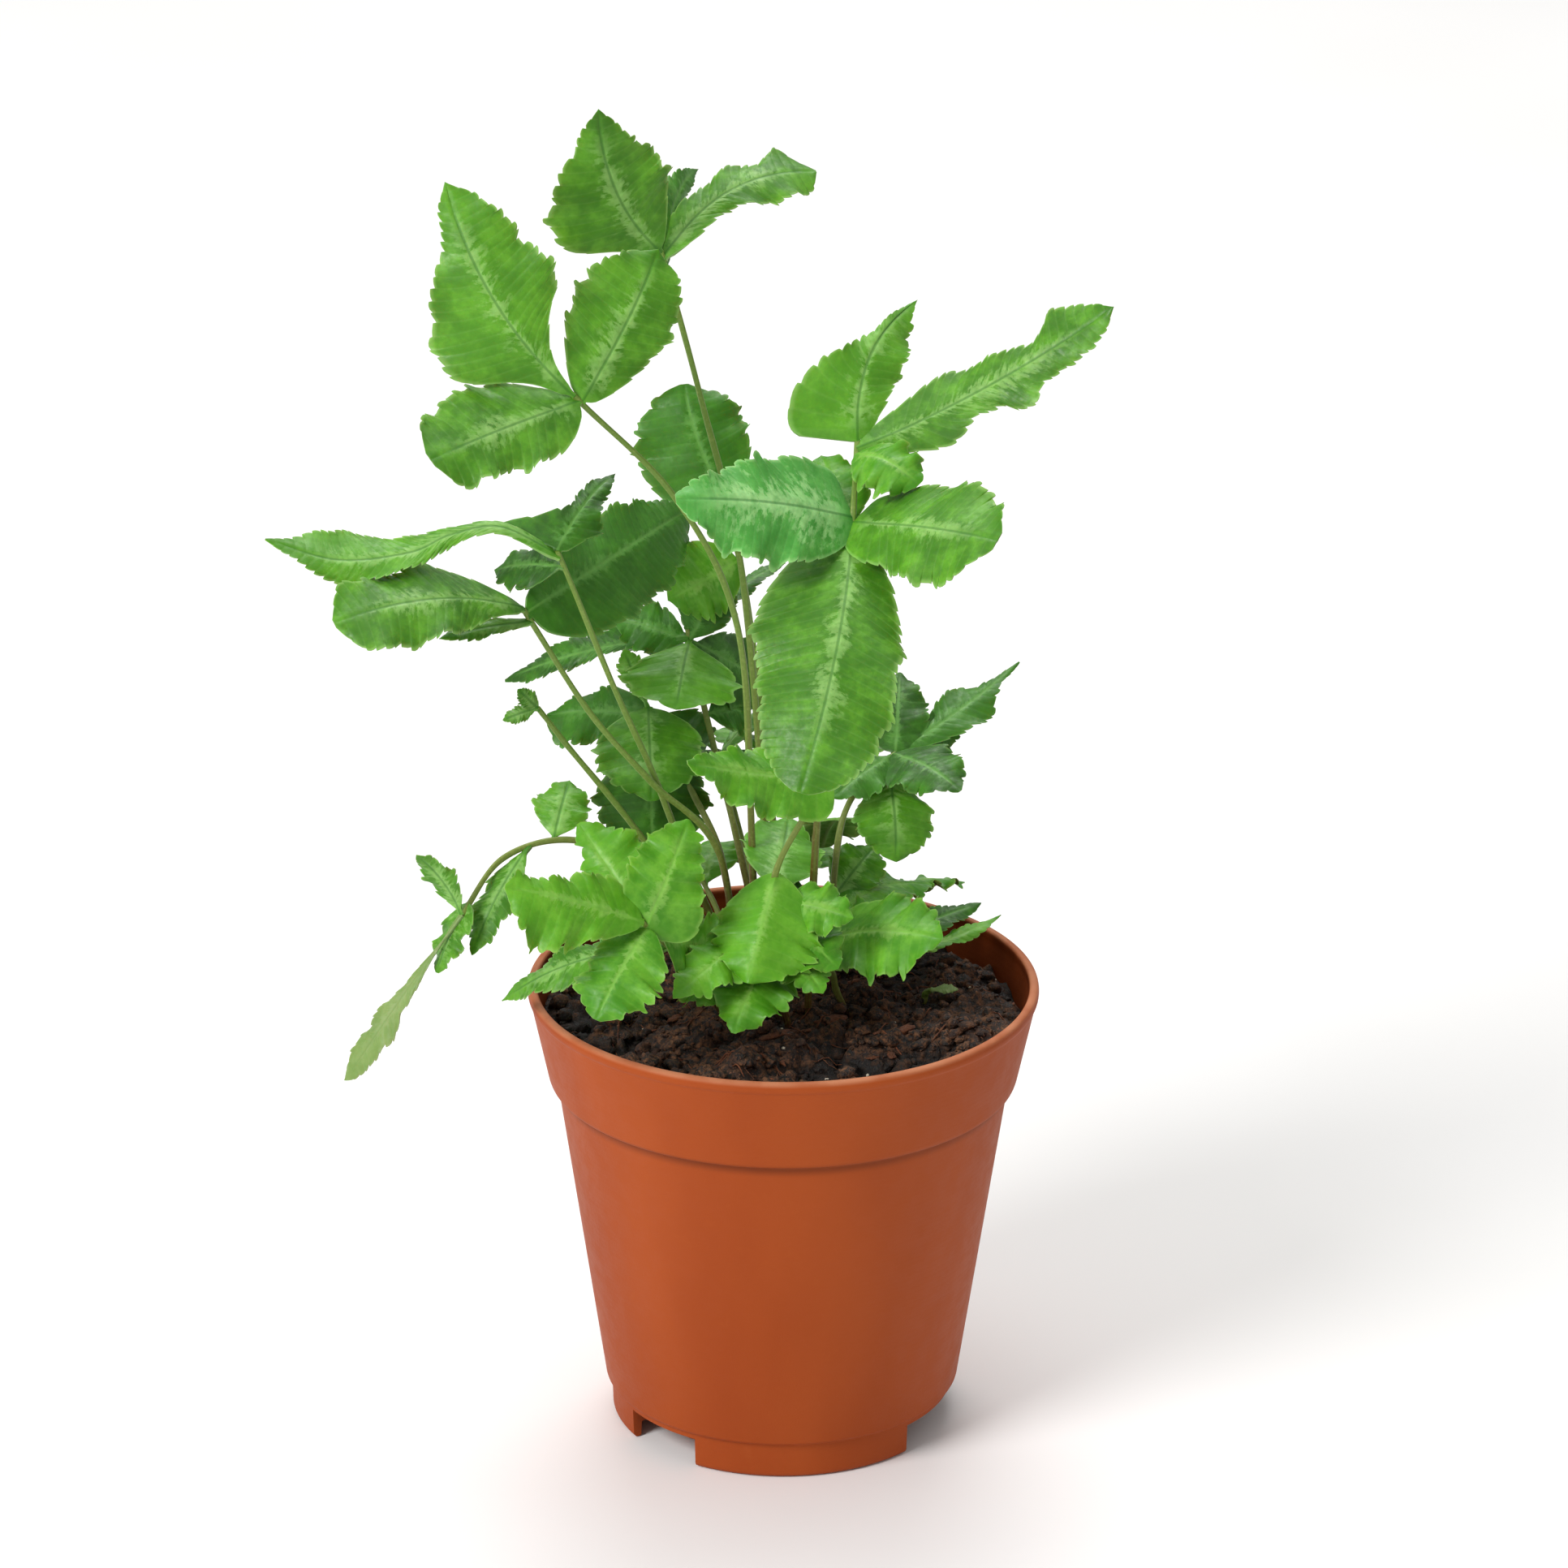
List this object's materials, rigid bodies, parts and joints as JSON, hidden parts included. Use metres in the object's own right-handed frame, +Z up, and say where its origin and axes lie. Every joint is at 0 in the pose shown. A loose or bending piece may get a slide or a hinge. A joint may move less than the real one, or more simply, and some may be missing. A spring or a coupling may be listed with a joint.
{
  "type": "potted fern",
  "caption": "Young brake fern with toothed, pale-banded leaflets on thin stalks, growing in dark potting soil in a round terracotta-coloured plastic nursery pot.",
  "frame": {"origin": "middle of the pot's underside, on the ground", "axes": "+Z up along the pot's own axis; the side seen in the picture faces -Y, and +X is to that view's right"},
  "size_m": [0.1663, 0.1228, 0.278],
  "materials": {
    "pot_plastic": "matt terracotta-coloured polypropylene with faint moulding lines",
    "soil": "damp, crumbly dark peat with bark fibres and small pale specks",
    "stipe_olive": "satin olive-green stalk, browner near the soil",
    "stipe_brown": "satin brown stalk, greener near the head",
    "leaf": "satin mid-green leaf with a paler band along the midrib and fine side veins",
    "leaf_bluish": "satin blue-green leaf with a pale band",
    "leaf_deep": "matt dark olive leaf",
    "leaf_young": "satin fresh yellow-green leaf with paler edge",
    "leaf_pale": "matt pale yellow-green leaf"
  },
  "bodies": {
    "root": {"pot": "pot_plastic", "soil": "soil", "stipe_tall": "stipe_olive", "leaflet_tall_left": "leaf", "leaflet_tall_right": "leaf", "leaflet_tall_rear": "leaf_deep", "stipe_left_high": "stipe_olive", "leaflet_left_high_end": "leaf", "leaflet_left_high_right": "leaf", "leaflet_left_high_left": "leaf", "stipe_rear": "stipe_olive", "leaflet_rear_end": "leaf_deep", "leaflet_rear_low": "leaf_young", "stipe_right_high": "stipe_olive", "leaflet_right_high_end": "leaf", "leaflet_right_high_right": "leaf", "leaflet_right_high_front": "leaf_young", "leaflet_right_high_low_left": "leaf_bluish", "leaflet_right_high_low_right": "leaf", "leaflet_right_high_low_front": "leaf", "stipe_left_mid": "stipe_olive", "leaflet_left_mid_left": "leaf", "leaflet_left_mid_front": "leaf", "leaflet_left_mid_rear": "leaf_deep", "stipe_left_long": "stipe_olive", "leaflet_left_long_end": "leaf_deep", "leaflet_left_long_left": "leaf", "stipe_middle": "stipe_brown", "leaflet_middle_left": "leaf_deep", "leaflet_middle_right": "leaf_deep", "leaflet_middle_front": "leaf", "stipe_inner_left": "stipe_brown", "leaflet_inner_left_left": "leaf_deep", "leaflet_inner_left_end": "leaf", "leaflet_inner_left_low": "leaf_deep", "stipe_right_low": "stipe_brown", "leaflet_right_low_right": "leaf_deep", "leaflet_right_low_rear": "leaf_deep", "leaflet_right_low_front": "leaf_deep", "leaflet_right_low_low": "leaf", "stipe_right_short": "stipe_brown", "leaflet_right_short_front": "leaf_young", "leaflet_right_short_rear": "leaf_young", "leaflet_right_short_low": "leaf_young", "stipe_front": "stipe_brown", "leaflet_front_end": "leaf_young", "leaflet_front_right": "leaf_young", "leaflet_front_low": "leaf_young", "leaflet_front_low_right": "leaf_young", "leaflet_front_low_left": "leaf_young", "stipe_front_left": "stipe_brown", "leaflet_front_left_left": "leaf_young", "leaflet_front_left_right": "leaf_young", "leaflet_front_left_low": "leaf_young", "leaflet_front_left_rear": "leaf_young", "leaflet_front_left_trailing": "leaf", "stipe_left_trailing": "stipe_brown", "leaflet_left_trailing_inner": "leaf", "leaflet_left_trailing_low": "leaf", "leaflet_left_trailing_end": "leaf_pale"}
  },
  "joints": []
}
